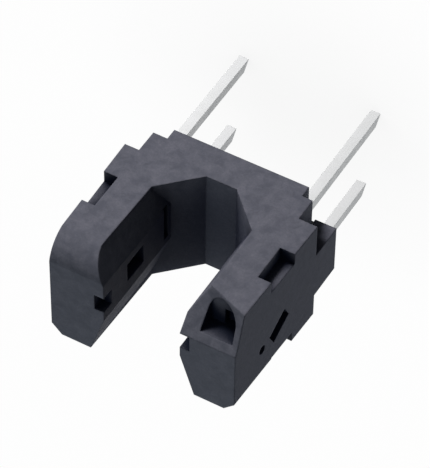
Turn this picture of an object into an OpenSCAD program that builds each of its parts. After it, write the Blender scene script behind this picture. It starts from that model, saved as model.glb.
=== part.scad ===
// Slotted optical switch: a moulded U housing with an emitter in one arm and a detector in the other.
// The seating face of the base is the plane z = 0, with the slot opening upward and the leads downward.
// The emitter arm is on the +X side and the detector arm on the -X side. Sizes are in millimetres.

/* [Housing] */
// Width over the outer side walls at the foot of the arms
body_w = 6.75; // [6.6:0.05:7.2]
// Depth from the front face to the rear face
body_d = 4; // [3.9:0.05:4.4]
// Height of the arm tips above the seating face
body_h = 5.95; // [5.85:0.05:6.6]
// Width over the outer side walls at the arm tips
tip_w = 6.45; // [6.3:0.05:6.55]
// Height at which the outer side walls start to lean inward
draft_z = 1.3; // [1.2:0.05:2]

/* [Slot] */
// Slot width at the front and rear faces, at the foot of the arms
slot_w = 3.5; // [3.3:0.05:3.7]
// Slot width at the front and rear faces, at the arm tips
slot_tip_w = 3.65; // [3.5:0.05:3.85]
// Slot width between the crests of the inner walls
throat_w = 2.65; // [2.4:0.05:2.85]
// Height of the slot floor
slot_floor_z = 1.2; // [1:0.02:1.5]
// Leg of the sloped corners of the slot floor
slot_corner = 1.22; // [0.9:0.03:1.3]
// Length of the sloped lead-in behind the front face
lead_in_front = 0.9; // [0.7:0.05:1.1]
// Length of the sloped lead-in before the rear face
lead_in_rear = 1.55; // [1.2:0.05:1.6]

/* [Arm tips] */
// Radius of the rounded front of the emitter tip
emitter_round = 1.04; // [0.7:0.02:1.1]
// Drop of the bevel on the detector tip at the slot
detector_drop_in = 1.02; // [0.9:0.02:1.1]
// Drop of the bevel on the detector tip at the outer wall
detector_drop_out = 0.5; // [0.4:0.02:0.6]
// Depth of the bevel on the detector tip
detector_bevel = 1.43; // [1.35:0.01:1.5]
// Bevel on the outer rear edge of each arm, above the notch
rear_edge = 0.36; // [0.2:0.02:0.4]

/* [Detector tip pocket] */
// Width of the round-fronted pocket
pocket_w = 1.1; // [0.9:0.02:1.14]
// Distance of the pocket from the middle plane
pocket_x = 2.45; // [2.4:0.01:2.47]
// Wall between the front face and the round front of the pocket
pocket_wall = 0.1; // [0.08:0.02:0.2]
// Length of the pocket from its round front to its rear wall
pocket_len = 1.1; // [0.9:0.05:1.2]
// Thickness left between the cavity roof and the pocket floor
pocket_roof = 0.38; // [0.3:0.02:0.44]
// Thickness left between the cavity roof and the floor of the pocket's deep corner
pocket_deep_roof = 0.16; // [0.14:0.01:0.24]
// Side length of the deep corner of the pocket
pocket_deep = 0.62; // [0.4:0.02:0.7]

/* [Light path] */
// Height of the optical axis
axis_z = 4.1; // [3.96:0.02:4.24]
// Position of the optical axis along the depth
axis_y = -0.4; // [-0.5:0.02:-0.1]
// Width of the aperture slit in the detector's inner wall
slit_w = 0.5; // [0.3:0.05:0.55]
// Width of the window in the emitter's inner wall
window_w = 0.75; // [0.6:0.05:0.9]
// Length of the slit and of the window
slit_len = 0.95; // [0.8:0.05:1.1]
// Width of the short groove at each tip
tip_groove_w = 0.62; // [0.4:0.02:0.66]
// Position of the short groove along the depth
tip_groove_y = -0.24; // [-0.4:0.02:-0.1]
// Length of the short groove at each tip
tip_groove_len = 0.45; // [0.3:0.05:0.6]
// Depth of the short groove at each tip
tip_groove_depth = 0.33; // [0.2:0.01:0.4]

/* [Base corners and notches] */
// Width of the stair at each base corner, at the seating face
stair_w = 1; // [0.9:0.05:1.05]
// Width of the first stair step on the emitter side
emitter_step_w = 0.5; // [0.35:0.05:0.6]
// Width of the first stair step on the detector side
detector_step_w = 0.36; // [0.34:0.02:0.5]
// Height of the first stair step
stair_low_h = 0.43; // [0.3:0.01:0.6]
// Height of the second stair step above the first
stair_high_h = 0.86; // [0.6:0.02:0.9]
// Depth of the stair cut behind the front face
stair_front = 1.3; // [1.1:0.05:1.5]
// Depth of the stair cut before the rear face
stair_rear = 0.87; // [0.6:0.01:1]
// Height of the lower end of the notches in the outer edges
notch_z = 2.6; // [2.5:0.02:2.8]
// Length of the notch in each outer front edge
notch_front_len = 1.35; // [1:0.05:1.5]
// Width of the notch in each outer front edge
notch_front_w = 0.48; // [0.3:0.02:0.5]
// Depth of the notch in each outer front edge
notch_front_d = 0.44; // [0.3:0.02:0.46]
// Length of the notch in each outer rear edge
notch_rear_len = 1.2; // [0.8:0.05:1.3]
// Width of the notch in each outer rear edge
notch_rear_w = 0.2; // [0.1:0.02:0.24]
// Depth of the notch in each outer rear edge
notch_rear_d = 0.4; // [0.3:0.05:0.5]

/* [Moulding marks] */
// Width of the groove across the foot of the emitter arm's inner wall
foot_groove_w = 0.24; // [0.16:0.02:0.28]
// Length of the foot groove
foot_groove_len = 1.35; // [1:0.05:1.5]
// Depth of the foot groove
foot_groove_depth = 0.16; // [0.1:0.01:0.2]
// Position of the foot groove's middle along the depth
foot_groove_y = -0.5; // [-0.6:0.05:-0.2]
// Height of the middle of the foot groove
foot_groove_z = 2.28; // [2.24:0.02:2.4]
// Width of the groove in the detector arm's outer wall
side_groove_w = 0.54; // [0.2:0.02:0.6]
// Length of the groove in the outer wall
side_groove_len = 1; // [0.8:0.05:1.1]
// Depth of the groove in the outer wall
side_groove_depth = 0.18; // [0.1:0.01:0.2]
// Position of the outer-wall groove's middle along the depth
side_groove_y = 0.48; // [0.3:0.02:0.6]
// Height of the middle of the outer-wall groove
side_groove_z = 3.4; // [3.3:0.02:3.6]
// Slant of the outer-wall groove toward the rear
side_groove_slant = 30; // [0:1:35]
// Position of the dimple above the groove along the depth
dimple_y = 0.64; // [0.4:0.02:0.7]
// Radius of the dimple above the outer-wall groove
dimple_r = 0.16; // [0.08:0.01:0.2]
// Height of the dimple
dimple_z = 4.38; // [4.3:0.02:4.5]

/* [Arm cavities] */
// Inner wall between the slot throat and the cavity
inner_wall = 0.33; // [0.28:0.01:0.36]
// Wall between the lead-in slopes and the cavity
slope_wall = 0.25; // [0.2:0.01:0.28]
// Depth of the cavity between its front and rear walls
cavity_d = 2.98; // [2.9:0.02:3]
// Height of the cavity roof over the optical axis
cavity_over = 0.6; // [0.54:0.02:0.66]

/* [Moulded optical bodies] */
// Clearance at the front and rear of each optical body
body_clear = 0.04; // [0.02:0.01:0.08]
// Clearance between the crown of the lens and the cavity wall
lens_clear = 0.03; // [0.02:0.01:0.05]
// Height of the lens crown over the flat of the body
lens_rise = 0.15; // [0.1:0.01:0.18]
// Radius of the lens where it leaves the flat
lens_r = 0.5; // [0.4:0.02:0.56]
// Thickness of each body outside its leads
lead_cover = 0.09; // [0.06:0.01:0.12]
// Recess of the bodies above the seating face
body_recess = 0.1; // [0.05:0.05:0.4]

/* [Leads] */
// Side of the square lead section
lead_side = 0.35; // [0.3:0.01:0.4]
// Spacing of the two leads of one arm
lead_pitch_y = 2.54; // [2.4:0.02:2.56]
// Spacing of the lead rows of the two arms
lead_pitch_x = 4.74; // [4.66:0.02:4.8]
// Length of the front leads below the seating face
lead_front_len = 4.35; // [3.6:0.05:5]
// Length of the rear leads below the seating face
lead_rear_len = 3.65; // [3:0.05:4.4]
// Length of the slanted cut at each lead end
lead_point = 0.3; // [0.2:0.02:0.4]
// Height of the die pad and of the bond post
pad_h = 0.8; // [0.7:0.05:0.9]
// Reach of the die pad past the optical axis
pad_reach = 0.3; // [0.24:0.02:0.34]
// Width of the bond post on the front lead
post_w = 0.55; // [0.45:0.01:0.6]

/* [Chips and bond wires] */
// Side of the emitter chip
emitter_chip = 0.3; // [0.24:0.02:0.4]
// Side of the detector chip
detector_chip = 0.4; // [0.3:0.02:0.44]
// Thickness of both chips
chip_t = 0.1; // [0.08:0.01:0.11]
// Thickness of the bond wires
wire_t = 0.03; // [0.025:0.005:0.04]
// Width of the bond wires along the height
wire_w = 0.04; // [0.03:0.005:0.06]
// Height of the wire loop over the chip
wire_loop = 0.07; // [0.05:0.01:0.08]
// Length of the flat foot at each end of a bond wire
wire_foot = 0.06; // [0.04:0.01:0.08]

/* [Hidden] */
EMITTER = 1;
DETECTOR = -1;
eps = 0.05;
far = 20;
front = -body_d / 2;
rear = body_d / 2;
slope_z = slot_floor_z + slot_corner;
floor_half = slot_w / 2 - slot_corner;
throat_half = throat_w / 2;
throat_z = slot_floor_z + throat_half - floor_half;
stair_h = stair_low_h + stair_high_h;
cavity_h = axis_z + cavity_over;
pocket_floor_z = cavity_h + pocket_roof;
pocket_deep_z = cavity_h + pocket_deep_roof;
cavity_in = throat_half + inner_wall;
crown_x = cavity_in + lens_clear;
flat_x = crown_x + lens_rise;
lens_sphere = (lens_r * lens_r + lens_rise * lens_rise) / (2 * lens_rise);
lead_x = lead_pitch_x / 2;
lead_y = lead_pitch_y / 2;
pad_face = lead_x - lead_side / 2;
cavity_out = lead_x + lead_side / 2 + lead_cover;
pad_z = axis_z - pad_h / 2;
pad_front = axis_y - pad_reach;
post_rear = -lead_y - lead_side / 2 + post_w;
chip_face = pad_face - chip_t;
wire_steps = 16;

// Outline of the housing's outer sides, seen from the front
function outer_outline() = [
    [-body_w / 2, 0], [body_w / 2, 0], [body_w / 2, draft_z], [tip_w / 2, body_h],
    [-tip_w / 2, body_h], [-body_w / 2, draft_z]
];

// Slot outline with a given width at the foot and at the tips of the arms
function slot_outline(foot_half, foot_z, tip_half) = let (lean = (tip_half - foot_half) / (body_h - foot_z)) [
    [floor_half, slot_floor_z], [foot_half, foot_z], [tip_half + lean * eps, body_h + eps],
    [-tip_half - lean * eps, body_h + eps], [-foot_half, foot_z], [-floor_half, slot_floor_z]
];

// Extrudes an outline in X and Z along the depth, from y0 to y1
module along_depth(y0, y1) {
    translate([0, y1, 0])
        rotate([90, 0, 0])
            linear_extrude(y1 - y0)
                children();
}

// Places a shape that is drawn for the +X arm on the arm of the given side
module on_side(side) {
    if (side == EMITTER) children();
    else mirror([1, 0, 0]) children();
}

// Sloped lead-ins that widen the throat toward the front and rear faces, on one arm
module lead_in_plan() {
    polygon([
        [0, front - eps], [slot_tip_w / 2, front - eps], [slot_tip_w / 2, front],
        [throat_half, front + lead_in_front], [throat_half, rear - lead_in_rear],
        [slot_tip_w / 2, rear], [slot_tip_w / 2, rear + eps], [0, rear + eps]
    ]);
}

module slot() {
    along_depth(front - eps, rear + eps)
        polygon(slot_outline(throat_half, throat_z, throat_half));
    intersection() {
        along_depth(front - eps, rear + eps)
            polygon(slot_outline(slot_w / 2, slope_z, slot_tip_w / 2));
        for (side = [EMITTER, DETECTOR])
            on_side(side)
                linear_extrude(body_h + 1)
                    lead_in_plan();
    }
}

// Outline of the two-step stair in the base corners of one arm
module stair_outline(step_w) {
    foot = body_w / 2 - stair_w;
    polygon([
        [foot, -eps], [body_w / 2 + eps, -eps], [body_w / 2 + eps, stair_h],
        [foot + step_w, stair_h], [foot + step_w, stair_low_h], [foot, stair_low_h]
    ]);
}

// Stairs that are cut from the front and rear base corners, which leaves an ear between them
module stair_cuts(step_w) {
    along_depth(front - eps, front + stair_front)
        stair_outline(step_w);
    along_depth(rear - stair_rear, rear + eps)
        stair_outline(step_w);
}

// Outer wall position at a height
function wall_x(z) = body_w / 2 - (body_w - tip_w) / 2 * (z - draft_z) / (body_h - draft_z);

// Notches in the outer front and rear edges of an arm
module edge_notches() {
    front_mid = notch_z + notch_front_len / 2;
    rear_mid = notch_z + notch_rear_len / 2;
    translate([wall_x(front_mid) - notch_front_w, front - eps, notch_z])
        cube([1, notch_front_d + eps, notch_front_len]);
    translate([wall_x(rear_mid) - rear_edge / 2 - notch_rear_w, rear - notch_rear_d, notch_z])
        cube([1, notch_rear_d + eps, notch_rear_len]);
}

// Bevel on the outer rear edge above the notch's foot, which follows the lean of the wall
module rear_edge_bevel() {
    lean = atan((body_w - tip_w) / 2 / (body_h - draft_z));
    translate([wall_x(notch_z), rear, notch_z])
        rotate([0, -lean, 0])
            linear_extrude(far)
                rotate(45)
                    square(rear_edge * sqrt(2), center = true);
}

// Rounded front of the emitter tip, which meets the front face and the top at a low angle
module emitter_tip_round() {
    inset = emitter_round * 0.98;
    translate([0, front + inset, body_h - inset])
        rotate([90, 0, 90])
            linear_extrude(far)
                difference() {
                    translate([-inset - eps, 0])
                        square(inset + eps);
                    circle(emitter_round, $fn = 96);
                }
}

// Bevel on the front of the detector tip, with a deeper drop at the slot than at the outer wall
module detector_tip_bevel() {
    inner_x = throat_half - eps;
    outer_x = body_w / 2;
    twist = (detector_drop_in - detector_drop_out) / (tip_w - slot_tip_w) * 2;
    function drop(x) = detector_drop_in - twist * (x - slot_tip_w / 2);
    hull() {
        along_depth(front - 2 * eps, front)
            polygon([
                [inner_x, body_h - drop(inner_x)], [outer_x, body_h - drop(outer_x)],
                [outer_x, body_h + 1], [inner_x, body_h + 1]
            ]);
        translate([inner_x, front, body_h])
            cube([outer_x - inner_x, detector_bevel, 1]);
    }
}

// Light opening of a given width through the inner wall, with the short groove at the tip
module light_opening(width) {
    translate([0, axis_y - width / 2, axis_z - slit_len / 2])
        cube([cavity_in + eps, width, slit_len]);
    translate([0, tip_groove_y - tip_groove_w / 2, body_h - tip_groove_len])
        cube([throat_half + tip_groove_depth, tip_groove_w, tip_groove_len + eps]);
}

// Distance from the middle plane to a plane that lies a given wall behind a lead-in slope
function behind_slope(run, length, wall) =
    let (rise = slot_tip_w / 2 - throat_half)
    throat_half + rise * run / length + wall * sqrt(rise * rise + length * length) / length;

// Plan of the cavity and of the body in it: the inner corners follow the lead-in slopes
module chamber_plan(inner_x, half_d, wall) {
    front_run = front + lead_in_front + half_d;
    rear_run = half_d - rear + lead_in_rear;
    front_x = behind_slope(front_run, lead_in_front, wall);
    rear_x = behind_slope(rear_run, lead_in_rear, wall);
    front_gain = max(front_x - inner_x, 0) * lead_in_front / (slot_tip_w / 2 - throat_half);
    rear_gain = max(rear_x - inner_x, 0) * lead_in_rear / (slot_tip_w / 2 - throat_half);
    polygon([
        [cavity_out, -half_d], [cavity_out, half_d], [max(rear_x, inner_x), half_d],
        [inner_x, half_d - rear_gain], [inner_x, front_gain - half_d], [max(front_x, inner_x), -half_d]
    ]);
}

// Chamber for the optical body, open at the seating face
module cavity() {
    translate([0, 0, -eps])
        linear_extrude(cavity_h + eps)
            chamber_plan(cavity_in, cavity_d / 2, slope_wall);
}

// Round-fronted pocket in the detector tip, with one deep corner
module tip_pocket() {
    r = pocket_w / 2;
    centre_y = front + pocket_wall + r;
    rear_y = front + pocket_wall + pocket_len;
    translate([pocket_x, 0, pocket_floor_z])
        linear_extrude(body_h) {
            translate([0, centre_y])
                circle(r, $fn = 48);
            translate([-r, centre_y])
                square([pocket_w, rear_y - centre_y]);
        }
    translate([pocket_x + r - pocket_deep, rear_y - pocket_deep, pocket_deep_z])
        cube([pocket_deep, pocket_deep, body_h]);
}

// Groove across the foot of the emitter arm's inner wall
module foot_groove() {
    translate([0, foot_groove_y - foot_groove_len / 2, foot_groove_z - foot_groove_w / 2])
        cube([throat_half + foot_groove_depth, foot_groove_len, foot_groove_w]);
}

// Groove and dimple in the outer wall of the detector arm
module outer_wall_marks() {
    translate([wall_x(side_groove_z) - side_groove_depth, side_groove_y, side_groove_z])
        rotate([-side_groove_slant, 0, 0])
            translate([0, -side_groove_w / 2, -side_groove_len / 2])
                cube([1, side_groove_w, side_groove_len]);
    translate([wall_x(dimple_z) - side_groove_depth, dimple_y, dimple_z])
        rotate([0, 90, 0])
            cylinder(r = dimple_r, h = 1, $fn = 32);
}

module housing() {
    color([0.13, 0.13, 0.14])
        difference() {
            along_depth(front, rear)
                polygon(outer_outline());
            slot();
            for (side = [EMITTER, DETECTOR])
                on_side(side) {
                    edge_notches();
                    rear_edge_bevel();
                    cavity();
                }
            on_side(EMITTER) {
                stair_cuts(emitter_step_w);
                light_opening(window_w);
                emitter_tip_round();
                foot_groove();
            }
            on_side(DETECTOR) {
                stair_cuts(detector_step_w);
                light_opening(slit_w);
                detector_tip_bevel();
                tip_pocket();
                outer_wall_marks();
            }
        }
}

// Tool that cuts the slanted end of a lead, at the lead's lower end
module lead_end_cut(length) {
    half = lead_side / 2;
    translate([lead_x - far / 2, 0, -length])
        rotate([90, 0, 90])
            linear_extrude(far)
                polygon([
                    [-half - eps, -eps], [half + eps, -eps],
                    [half + eps, lead_point * (1 + eps / lead_side)], [-half - eps, -lead_point * eps / lead_side]
                ]);
}

// Straight square lead from its cut end up to the top of the pad or post
module lead_bar(y, length) {
    difference() {
        translate([lead_x - lead_side / 2, y - lead_side / 2, -length])
            cube([lead_side, lead_side, length + pad_z + pad_h]);
        translate([0, y, 0])
            lead_end_cut(length);
    }
}

// Rear lead with the die pad, for the +X arm
module pad_lead() {
    lead_bar(lead_y, lead_rear_len);
    translate([pad_face, pad_front, pad_z])
        cube([lead_side, lead_y - pad_front, pad_h]);
}

// Front lead with the bond post, for the +X arm
module post_lead() {
    lead_bar(-lead_y, lead_front_len);
    translate([pad_face, -lead_y, pad_z])
        cube([lead_side, post_rear + lead_y, pad_h]);
}

// Chip on the die pad, centred on the optical axis
module die(size) {
    translate([chip_face, axis_y - size / 2, axis_z - size / 2])
        cube([chip_t, size, size]);
}

// Course of a bond wire's underside: from the chip at t = 0, over a loop, to the post at t = 1
function wire_point(t) = [
    chip_face + chip_t * t - 4 * wire_loop * t * (1 - t),
    axis_y + (post_rear - wire_foot - axis_y) * t
];

// Bond wire with a flat foot on the chip and another on the post
module bond_wire() {
    course = concat(
        [wire_point(0) + [0, wire_foot]],
        [for (i = [0:wire_steps]) wire_point(i / wire_steps)],
        [wire_point(1) - [0, wire_foot]]
    );
    last = len(course) - 1;
    translate([0, 0, axis_z - wire_w / 2])
        linear_extrude(wire_w)
            polygon(concat(course, [for (i = [last:-1:0]) course[i] - [wire_t, 0]]));
}

// Cast epoxy body with its lens, flush with the stairs of the base, for the +X arm
module optical_body(chip_size, step_w) {
    half_d = cavity_d / 2 - body_clear;
    difference() {
        union() {
            translate([0, 0, body_recess])
                linear_extrude(cavity_h - body_recess)
                    chamber_plan(flat_x, half_d, slope_wall + body_clear);
            intersection() {
                translate([crown_x + lens_sphere, axis_y, axis_z])
                    sphere(lens_sphere, $fn = 96);
                translate([crown_x - eps, axis_y - lens_r - eps, axis_z - lens_r - eps])
                    cube([lens_rise + 2 * eps, 2 * (lens_r + eps), 2 * (lens_r + eps)]);
            }
        }
        stair_cuts(step_w);
        pad_lead();
        post_lead();
        die(chip_size);
        bond_wire();
    }
}

module emitter_body() {
    color([0.75, 0.78, 0.82])
        on_side(EMITTER)
            optical_body(emitter_chip, emitter_step_w);
}

module detector_body() {
    color([0.12, 0.1, 0.12])
        on_side(DETECTOR)
            optical_body(detector_chip, detector_step_w);
}

module emitter_anode_lead() {
    color([0.85, 0.86, 0.88])
        on_side(EMITTER)
            post_lead();
}

module emitter_cathode_lead() {
    color([0.85, 0.86, 0.88])
        on_side(EMITTER)
            pad_lead();
}

module detector_emitter_lead() {
    color([0.85, 0.86, 0.88])
        on_side(DETECTOR)
            post_lead();
}

module detector_collector_lead() {
    color([0.85, 0.86, 0.88])
        on_side(DETECTOR)
            pad_lead();
}

module emitter_die() {
    color([0.45, 0.4, 0.38])
        on_side(EMITTER)
            die(emitter_chip);
}

module detector_die() {
    color([0.3, 0.32, 0.4])
        on_side(DETECTOR)
            die(detector_chip);
}

module emitter_bond_wire() {
    color([0.9, 0.72, 0.3])
        on_side(EMITTER)
            bond_wire();
}

module detector_bond_wire() {
    color([0.9, 0.72, 0.3])
        on_side(DETECTOR)
            bond_wire();
}

housing();
emitter_body();
detector_body();
emitter_anode_lead();
emitter_cathode_lead();
detector_emitter_lead();
detector_collector_lead();
emitter_die();
detector_die();
emitter_bond_wire();
detector_bond_wire();
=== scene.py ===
import math

import bpy
from mathutils import Matrix, Vector


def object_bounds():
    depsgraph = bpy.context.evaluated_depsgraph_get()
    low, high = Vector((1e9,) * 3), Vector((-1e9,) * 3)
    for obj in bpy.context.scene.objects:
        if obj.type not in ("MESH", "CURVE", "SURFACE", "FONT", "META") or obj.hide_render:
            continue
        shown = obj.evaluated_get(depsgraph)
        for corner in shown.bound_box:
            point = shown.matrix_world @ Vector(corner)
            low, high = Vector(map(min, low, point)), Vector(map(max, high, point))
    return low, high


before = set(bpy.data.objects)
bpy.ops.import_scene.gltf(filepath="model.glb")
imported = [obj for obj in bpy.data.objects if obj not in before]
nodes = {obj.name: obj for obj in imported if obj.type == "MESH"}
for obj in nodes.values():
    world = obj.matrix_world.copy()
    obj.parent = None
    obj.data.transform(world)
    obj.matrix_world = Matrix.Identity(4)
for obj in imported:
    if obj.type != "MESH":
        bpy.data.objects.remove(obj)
cad_low, cad_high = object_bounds()
scene = bpy.context.scene
scene.view_settings.view_transform = "Standard"

MM = 0.001
WHITE = (1.0, 1.0, 1.0)
BLACK = (0.0, 0.0, 0.0)

# Colour sockets of the Mix node
MIX_FIRST, MIX_SECOND, MIX_RESULT = 6, 7, 2


# Node helpers

def new_material(name):
    """An empty node material, with its tree and its Principled shader."""
    mat = bpy.data.materials.new(name)
    mat.use_nodes = True
    tree = mat.node_tree
    tree.nodes.clear()
    out = tree.nodes.new("ShaderNodeOutputMaterial")
    shader = tree.nodes.new("ShaderNodeBsdfPrincipled")
    tree.links.new(shader.outputs["BSDF"], out.inputs["Surface"])
    return mat, tree, shader


def object_coords(tree, scale=(1.0, 1.0, 1.0)):
    """Coordinates in the part's own frame, stretched by a scale on each axis."""
    coords = tree.nodes.new("ShaderNodeTexCoord")
    mapping = tree.nodes.new("ShaderNodeMapping")
    mapping.inputs["Scale"].default_value = scale
    tree.links.new(coords.outputs["Object"], mapping.inputs["Vector"])
    return mapping.outputs["Vector"]


def noise(tree, vector, size_mm, detail=3.0, rough=0.55, distortion=0.0):
    """Noise whose features measure about size_mm."""
    tex = tree.nodes.new("ShaderNodeTexNoise")
    tex.inputs["Scale"].default_value = 1.0 / (size_mm * MM)
    tex.inputs["Detail"].default_value = detail
    tex.inputs["Roughness"].default_value = rough
    tex.inputs["Distortion"].default_value = distortion
    tree.links.new(vector, tex.inputs["Vector"])
    return tex.outputs["Fac"]


def cells(tree, vector, size_mm):
    """Distance to the nearest of scattered points about size_mm apart."""
    tex = tree.nodes.new("ShaderNodeTexVoronoi")
    tex.inputs["Scale"].default_value = 1.0 / (size_mm * MM)
    tree.links.new(vector, tex.inputs["Vector"])
    return tex.outputs["Distance"]


def remap(tree, value, low, high, to_low, to_high):
    """Maps low..high to to_low..to_high, and holds the ends."""
    node = tree.nodes.new("ShaderNodeMapRange")
    node.inputs["From Min"].default_value = low
    node.inputs["From Max"].default_value = high
    node.inputs["To Min"].default_value = to_low
    node.inputs["To Max"].default_value = to_high
    tree.links.new(value, node.inputs["Value"])
    return node.outputs["Result"]


def blend_colours(tree, fac, first, second):
    """Colour between first and second; each is an RGB triple or another node's output."""
    node = tree.nodes.new("ShaderNodeMix")
    node.data_type = "RGBA"
    tree.links.new(fac, node.inputs["Factor"])
    for value, socket in ((first, node.inputs[MIX_FIRST]), (second, node.inputs[MIX_SECOND])):
        if isinstance(value, tuple):
            socket.default_value = (*value, 1.0)
        else:
            tree.links.new(value, socket)
    return node.outputs[MIX_RESULT]


def openness(tree, reach_mm, samples, own_piece_only):
    """1 on open faces, falling toward 0 where other faces close in within reach_mm."""
    node = tree.nodes.new("ShaderNodeAmbientOcclusion")
    node.samples = samples
    node.only_local = own_piece_only
    node.inputs["Distance"].default_value = reach_mm * MM
    return node.outputs["AO"]


def add_bump(tree, shader, layers, edge_mm=0.0):
    """Chains bump layers of (height output, depth in mm, strength), over an edge radius if one is given."""
    normal = None
    if edge_mm:
        edge = tree.nodes.new("ShaderNodeBevel")
        edge.samples = 6
        edge.inputs["Radius"].default_value = edge_mm * MM
        normal = edge.outputs["Normal"]
    for height, depth_mm, strength in layers:
        bump = tree.nodes.new("ShaderNodeBump")
        bump.inputs["Strength"].default_value = strength
        bump.inputs["Distance"].default_value = depth_mm * MM
        tree.links.new(height, bump.inputs["Height"])
        if normal is not None:
            tree.links.new(normal, bump.inputs["Normal"])
        normal = bump.outputs["Normal"]
    tree.links.new(normal, shader.inputs["Normal"])


# Materials

HOUSING_EDGE_MM = 0.08
# Reach of the painted shade in the slot and in corners
SLOT_REACH_MM, CORNER_REACH_MM = 4.0, 1.0
RECESS_SAMPLES = 12


def housing_plastic():
    """Charcoal moulded plastic: a cloudy tone, pale fibre flecks and an eroded texture, with painted shade
    that darkens the slot, corners and recesses.
    """
    dark_cloud, pale_cloud = (0.1, 0.102, 0.128), (0.148, 0.147, 0.178)
    grain_tone, fleck_tone = (0.09, 0.09, 0.108), (0.22, 0.22, 0.24)
    slot_painted_shade, corner_painted_shade = (0.003, 0.005, 0.018), (0.003, 0.005, 0.012)
    mat, tree, shader = new_material("housing_plastic")
    at = object_coords(tree)
    cloud = noise(tree, at, 0.42, detail=4.0, rough=0.6, distortion=0.4)
    grain = noise(tree, at, 0.06, detail=2.0, rough=0.6)
    fleck = cells(tree, at, 0.11)
    # Painted shade: where nearby faces close in, in the slot and in corners, the colour is blended toward
    # near-black in place of the shade that falls there.
    slot = openness(tree, SLOT_REACH_MM, RECESS_SAMPLES, True)
    corner = openness(tree, CORNER_REACH_MM, RECESS_SAMPLES, True)
    tone = blend_colours(tree, remap(tree, cloud, 0.36, 0.64, 0.0, 1.0), dark_cloud, pale_cloud)
    tone = blend_colours(tree, remap(tree, grain, 0.35, 0.7, 0.0, 0.4), tone, grain_tone)
    tone = blend_colours(tree, remap(tree, fleck, 0.0, 0.22, 0.15, 0.0), tone, fleck_tone)
    tone = blend_colours(tree, remap(tree, slot, 0.45, 0.85, 0.97, 0.0), tone, slot_painted_shade)
    tone = blend_colours(tree, remap(tree, corner, 0.55, 0.9, 0.92, 0.0), tone, corner_painted_shade)
    tree.links.new(tone, shader.inputs["Base Color"])
    tree.links.new(remap(tree, cloud, 0.25, 0.75, 0.6, 0.75), shader.inputs["Roughness"])
    shader.inputs["Specular IOR Level"].default_value = 0.05
    add_bump(tree, shader, [(cloud, 0.02, 0.5), (grain, 0.008, 0.5)], edge_mm=HOUSING_EDGE_MM)
    return mat


def lead_tin():
    """Bright tin plate: drawing lines along the lead and dull cloudy patches."""
    bright, dull, line_tone = (0.74, 0.74, 0.74), (0.66, 0.66, 0.665), (0.6, 0.6, 0.61)
    mat, tree, shader = new_material("lead_tin")
    patch = noise(tree, object_coords(tree), 0.5, detail=4.0)
    drawn = noise(tree, object_coords(tree, (1.0, 1.0, 0.02)), 0.06, detail=2.0)
    tone = blend_colours(tree, remap(tree, patch, 0.3, 0.7, 0.0, 1.0), bright, dull)
    tone = blend_colours(tree, remap(tree, drawn, 0.35, 0.65, 0.0, 0.12), tone, line_tone)
    tree.links.new(tone, shader.inputs["Base Color"])
    tree.links.new(remap(tree, patch, 0.3, 0.7, 0.3, 0.45), shader.inputs["Roughness"])
    shader.inputs["Metallic"].default_value = 0.3
    add_bump(tree, shader, [(drawn, 0.002, 0.05)])
    return mat


def epoxy(name, clear, dark, transmission):
    """Cast epoxy with a faint flow cloud and a satin skin."""
    mat, tree, shader = new_material(name)
    at = object_coords(tree)
    cloud = noise(tree, at, 0.5, detail=3.0, distortion=0.8)
    skin = noise(tree, at, 0.08, detail=2.0)
    tone = blend_colours(tree, remap(tree, cloud, 0.3, 0.7, 0.0, 1.0), clear, dark)
    tree.links.new(tone, shader.inputs["Base Color"])
    tree.links.new(remap(tree, skin, 0.3, 0.7, 0.12, 0.26), shader.inputs["Roughness"])
    shader.inputs["Transmission Weight"].default_value = transmission
    shader.inputs["IOR"].default_value = 1.54
    add_bump(tree, shader, [(skin, 0.003, 0.3)])
    return mat


def chip_crystal(name, face, edge):
    """Sawn semiconductor crystal with a fine metallised pattern."""
    mat, tree, shader = new_material(name)
    pattern = cells(tree, object_coords(tree), 0.05)
    saw = noise(tree, object_coords(tree, (1.0, 1.0, 0.1)), 0.02, detail=2.0)
    tone = blend_colours(tree, remap(tree, pattern, 0.2, 0.6, 0.0, 1.0), face, edge)
    tree.links.new(tone, shader.inputs["Base Color"])
    tree.links.new(remap(tree, saw, 0.3, 0.7, 0.15, 0.35), shader.inputs["Roughness"])
    shader.inputs["Metallic"].default_value = 0.6
    add_bump(tree, shader, [(saw, 0.001, 0.3)])
    return mat


def bond_gold():
    """Soft drawn gold wire."""
    mat, tree, shader = new_material("bond_gold")
    drawn = noise(tree, object_coords(tree, (1.0, 0.1, 1.0)), 0.01, detail=2.0)
    tone = blend_colours(tree, drawn, (0.9, 0.62, 0.2), (0.8, 0.52, 0.15))
    tree.links.new(tone, shader.inputs["Base Color"])
    tree.links.new(remap(tree, drawn, 0.3, 0.7, 0.18, 0.3), shader.inputs["Roughness"])
    shader.inputs["Metallic"].default_value = 1.0
    return mat


LEADS = ("emitter_anode_lead", "emitter_cathode_lead", "detector_emitter_lead", "detector_collector_lead")
tin = lead_tin()
gold = bond_gold()
dress = {
    "housing": housing_plastic(),
    "emitter_body": epoxy("emitter_epoxy", (0.3, 0.26, 0.36), (0.18, 0.15, 0.24), 0.55),
    "detector_body": epoxy("detector_epoxy", (0.03, 0.028, 0.034), (0.015, 0.014, 0.018), 0.1),
    "emitter_die": chip_crystal("emitter_crystal", (0.4, 0.34, 0.2), (0.16, 0.14, 0.1)),
    "detector_die": chip_crystal("detector_crystal", (0.16, 0.2, 0.32), (0.08, 0.1, 0.16)),
    "emitter_bond_wire": gold,
    "detector_bond_wire": gold,
    **{lead: tin for lead in LEADS},
}
for name, mat in dress.items():
    slots = nodes[name].data.materials
    if len(slots):
        for i in range(len(slots)):
            slots[i] = mat
    else:
        slots.append(mat)


# Edges

LEAD_EDGE_MM = 0.02
LEAD_WELD_MM, HOUSING_WELD_MM = 0.0001, 0.001
FLAT_ANGLE, CREASE_ANGLE = math.radians(0.5), math.radians(25.0)


def weld_vertices(piece, reach_mm):
    """Joins the vertices of a piece that lie within reach_mm of each other."""
    weld = piece.modifiers.new("weld", "WELD")
    weld.merge_threshold = reach_mm * MM


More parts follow.
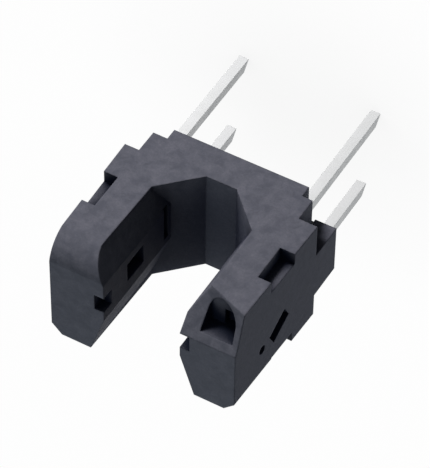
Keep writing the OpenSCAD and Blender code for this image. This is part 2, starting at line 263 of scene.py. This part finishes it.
def round_lead_edges(piece):
    """Small drawn radius along a lead's sharp edges."""
    weld_vertices(piece, LEAD_WELD_MM)
    merge = piece.modifiers.new("merge_flats", "DECIMATE")
    merge.decimate_type = "DISSOLVE"
    merge.angle_limit = FLAT_ANGLE
    bevel = piece.modifiers.new("edge_radius", "BEVEL")
    bevel.width = LEAD_EDGE_MM * MM
    bevel.segments = 2
    bevel.limit_method = "ANGLE"
    bevel.angle_limit = CREASE_ANGLE
    bevel.miter_outer = "MITER_SHARP"
    bevel.use_clamp_overlap = True
    normals = piece.modifiers.new("normals", "WEIGHTED_NORMAL")
    normals.keep_sharp = False


def close_housing_mesh(piece):
    """Merges slivers under a micrometre and keeps the creases, without a change of form."""
    weld_vertices(piece, HOUSING_WELD_MM)
    crease = piece.modifiers.new("creases", "EDGE_SPLIT")
    crease.split_angle = CREASE_ANGLE
    crease.use_edge_sharp = False


for lead in LEADS:
    round_lead_edges(nodes[lead])
close_housing_mesh(nodes["housing"])


# Camera, fitted to the photo's edges

HEADING, PITCH, ROLL = (math.radians(angle) for angle in (23.968, 35.75, -141.848))
AIM = Vector((0.312, 0.665, 1.01)) * MM
EYE_DISTANCE_MM = 100.0
FOCAL_PX, IMAGE_LONG_SIDE_PX = 3221.51, 468
SENSOR_MM = 36.0
NEAR_CLIP_M, FAR_CLIP_M = 0.001, 10.0

camera = bpy.data.objects.new("camera", bpy.data.cameras.new("camera"))
scene.collection.objects.link(camera)
gaze = Matrix.Rotation(-HEADING, 4, "Z") @ Matrix.Rotation(math.pi / 2 - PITCH, 4, "X")
eye = AIM + gaze.to_3x3() @ Vector((0.0, 0.0, EYE_DISTANCE_MM * MM))
camera.matrix_world = Matrix.Translation(eye) @ gaze @ Matrix.Rotation(ROLL, 4, "Z")
camera.data.sensor_width = SENSOR_MM
camera.data.lens = SENSOR_MM * FOCAL_PX / IMAGE_LONG_SIDE_PX
camera.data.clip_start = NEAR_CLIP_M
camera.data.clip_end = FAR_CLIP_M
scene.camera = camera


# Floor and light

FLOOR_HALF_M = 1.5
FLOOR_GAP_MM = 0.02
FLOOR_TONE = (0.3, 0.3, 0.3)
FLOOR_GLOW = 0.985
FLOOR_SHADE = 0.1
FLOOR_SHADE_REACH_MM = 7.0
FLOOR_SHADE_SAMPLES = 8
SKY_TINT = (0.86, 0.96, 1.0)
SKY_LOW, SKY_HIGH = 0.015, 0.13
LAMP_AIM = Vector((0.0, 0.0, 2.0)) * MM
LAMP_DISTANCE_MM = 110.0


def white_for_sight(tree, share):
    """Factor that is the given share for camera, glossy and transmission rays, and 0 for others."""
    path = tree.nodes.new("ShaderNodeLightPath")
    seen = path.outputs["Is Camera Ray"]
    for kind in ("Is Glossy Ray", "Is Transmission Ray"):
        either = tree.nodes.new("ShaderNodeMath")
        either.operation = "MAXIMUM"
        tree.links.new(seen, either.inputs[0])
        tree.links.new(path.outputs[kind], either.inputs[1])
        seen = either.outputs["Value"]
    part = tree.nodes.new("ShaderNodeMath")
    part.operation = "MULTIPLY"
    part.inputs[1].default_value = share
    tree.links.new(seen, part.inputs[0])
    return part.outputs["Value"]


def mix_for_sight(tree, output, share, unseen, seen):
    """Sends to the output the unseen shader, with the seen one over it as far as white_for_sight says."""
    out = tree.nodes.new(output)
    mix = tree.nodes.new("ShaderNodeMixShader")
    tree.links.new(white_for_sight(tree, share), mix.inputs["Fac"])
    tree.links.new(unseen, mix.inputs[1])
    tree.links.new(seen, mix.inputs[2])
    tree.links.new(mix.outputs["Shader"], out.inputs["Surface"])


def floor_paper():
    """Paper that looks white, with a faint painted shadow under the part, and returns little light to it."""
    paper = bpy.data.materials.new("floor_paper")
    paper.use_nodes = True
    tree = paper.node_tree
    tree.nodes.clear()
    matte = tree.nodes.new("ShaderNodeBsdfDiffuse")
    matte.inputs["Color"].default_value = (*FLOOR_TONE, 1.0)
    glow = tree.nodes.new("ShaderNodeEmission")
    glow.inputs["Strength"].default_value = 1.0
    # Painted shadow: the white glow is darkened where the part closes in over the floor within the reach.
    under = openness(tree, FLOOR_SHADE_REACH_MM, FLOOR_SHADE_SAMPLES, False)
    shade = remap(tree, under, 0.4, 1.0, FLOOR_SHADE, 0.0)
    tree.links.new(blend_colours(tree, shade, WHITE, BLACK), glow.inputs["Color"])
    unseen, seen = matte.outputs["BSDF"], glow.outputs["Emission"]
    mix_for_sight(tree, "ShaderNodeOutputMaterial", FLOOR_GLOW, unseen, seen)
    return paper


def lay_floor():
    """Floor just under the lead ends; it casts no shadow, because two lamps stand below its level."""
    z = cad_low.z - FLOOR_GAP_MM * MM
    corners = [(x * FLOOR_HALF_M, y * FLOOR_HALF_M, z) for x, y in ((-1, -1), (1, -1), (1, 1), (-1, 1))]
    mesh = bpy.data.meshes.new("floor")
    mesh.from_pydata(corners, [], [(0, 1, 2, 3)])
    mesh.materials.append(floor_paper())
    floor = bpy.data.objects.new("floor", mesh)
    scene.collection.objects.link(floor)
    floor.visible_shadow = False


def light_sky():
    """Weak bluish sky that is stronger from above, and looks white."""
    world = bpy.data.worlds.new("studio")
    scene.world = world
    world.use_nodes = True
    tree = world.node_tree
    tree.nodes.clear()
    soft = tree.nodes.new("ShaderNodeBackground")
    soft.inputs["Color"].default_value = (*SKY_TINT, 1.0)
    toward = tree.nodes.new("ShaderNodeTexCoord")
    height = tree.nodes.new("ShaderNodeSeparateXYZ")
    tree.links.new(toward.outputs["Generated"], height.inputs["Vector"])
    tree.links.new(remap(tree, height.outputs["Z"], 0.0, 1.0, SKY_LOW, SKY_HIGH), soft.inputs["Strength"])
    white = tree.nodes.new("ShaderNodeBackground")
    white.inputs["Color"].default_value = (*WHITE, 1.0)
    white.inputs["Strength"].default_value = 1.0
    mix_for_sight(tree, "ShaderNodeOutputWorld", 1.0, soft.outputs["Background"], white.outputs["Background"])


def softbox(name, toward, size_mm, level, tint):
    """Square lamp in a direction from the part; level 1 lights a facing white surface to white."""
    data = bpy.data.lights.new(name, "AREA")
    data.shape = "SQUARE"
    data.size = size_mm * MM
    data.energy = level * math.pi ** 2 * (LAMP_DISTANCE_MM * MM) ** 2
    data.color = tint
    lamp = bpy.data.objects.new(name, data)
    scene.collection.objects.link(lamp)
    back = Vector(toward).normalized()
    lamp.location = LAMP_AIM + back * LAMP_DISTANCE_MM * MM
    lamp.rotation_mode = "QUATERNION"
    lamp.rotation_quaternion = (-back).to_track_quat("-Z", "Y")


lay_floor()
light_sky()
softbox("key", (0.5, -0.84, -0.17), 24.0, 0.95, WHITE)
softbox("rear", (0.1, 0.94, 0.36), 40.0, 0.32, SKY_TINT)
softbox("top", (0.15, -0.2, 0.9), 30.0, 0.16, SKY_TINT)
softbox("side", (-0.97, 0.1, -0.2), 30.0, 0.135, SKY_TINT)
